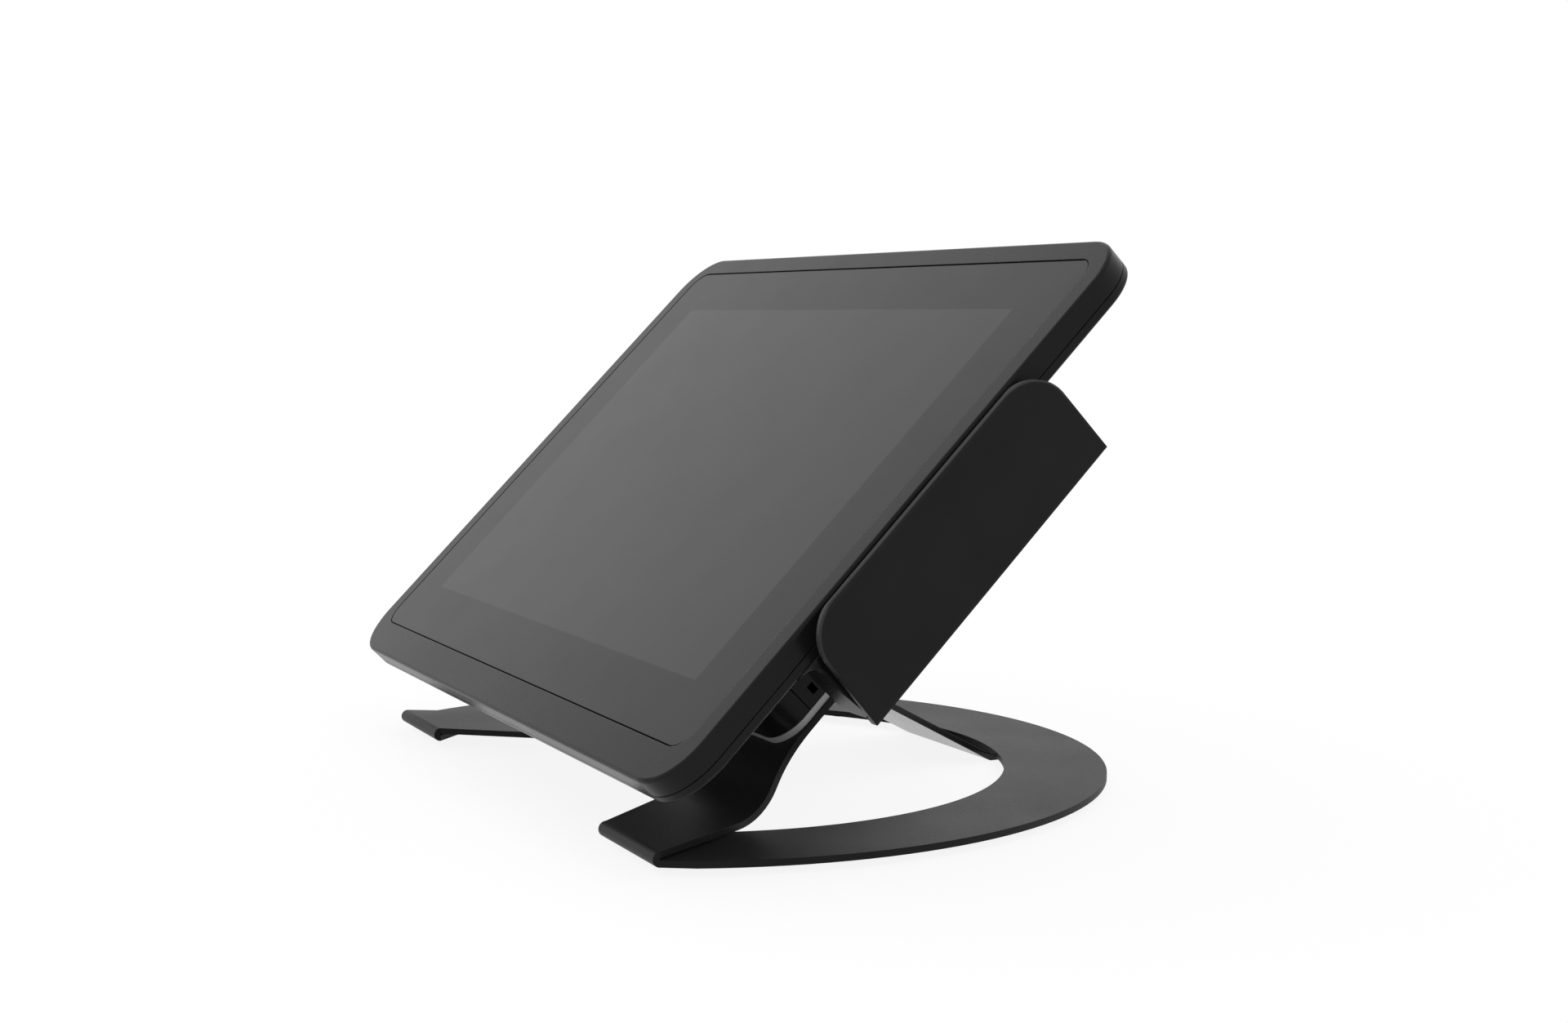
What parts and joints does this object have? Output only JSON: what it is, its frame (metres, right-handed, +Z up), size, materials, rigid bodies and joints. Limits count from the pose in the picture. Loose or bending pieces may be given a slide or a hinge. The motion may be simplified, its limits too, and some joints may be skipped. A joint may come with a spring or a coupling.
{
  "type": "card payment terminal",
  "caption": "Touch display at 45 degrees with a side swipe slot for cards, on a ring-footed stand folded from black steel sheet.",
  "frame": {"origin": "on the table at the centre of the stand's ring", "axes": "+X to the reader's side (right, seen from the front), the display faces -Y, +Z up"},
  "size_m": [0.2806, 0.1975, 0.1634],
  "materials": {
    "stand_steel": "fine textured matte powder coat",
    "plate_grey": "satin grey",
    "shell_black": "fine matte texture",
    "glass_black": "matte anti-glare",
    "panel_grey": "matte",
    "bright_steel": "plain",
    "black_screw": "black zinc",
    "brass": "plain",
    "pad_rubber": "matte",
    "cooler_aluminium": "plain",
    "circuit_board": "satin solder mask",
    "speaker_grey": "matte"
  },
  "bodies": {
    "terminal": {"stand_sheet": "stand_steel", "stand_strut": "stand_steel", "foot_pads": "pad_rubber", "mount_plate": "plate_grey", "mount_screws": "black_screw", "mount_inserts": "brass", "front_bezel": "shell_black", "cover_glass": "glass_black", "glass_adhesive": "pad_rubber", "lcd_panel": "panel_grey", "panel_frame": "bright_steel", "frame_screws": "black_screw", "rear_cover": "shell_black", "cover_screws": "black_screw", "main_board": "circuit_board", "board_screws": "bright_steel", "processor_cooler": "cooler_aluminium", "memory_module": "circuit_board", "coin_cell": "bright_steel", "port_bracket": "bright_steel", "power_inlet": "shell_black", "usb_ports": "bright_steel", "speakers": "speaker_grey", "antennas": "circuit_board", "button_board": "circuit_board", "button_screws": "bright_steel", "reader_housing": "shell_black", "reader_lid": "shell_black", "reader_board": "circuit_board", "reader_screws": "black_screw"},
    "power_button_body": {"power_button": "shell_black", "switch_plunger": "shell_black"},
    "read_head_body": {"read_head": "bright_steel", "head_spring": "bright_steel"},
    "cable_cover_body": {"cable_cover": "shell_black"}
  },
  "joints": [
    {"name": "power_button_press", "type": "slide", "parent": "terminal", "child": "power_button_body", "axis": [1, 0, 0], "range_m": [0, 0.0006], "stiffness_N_per_m": 600},
    {"name": "read_head_float", "type": "slide", "parent": "terminal", "child": "read_head_body", "axis": [-1, 0, 0], "range_m": [0, 0.0008], "stiffness_N_per_m": 600},
    {"name": "cable_cover_slide", "type": "slide", "parent": "terminal", "child": "cable_cover_body", "axis": [0, -0.7071, -0.7071], "range_m": [0, 0.012]}
  ]
}
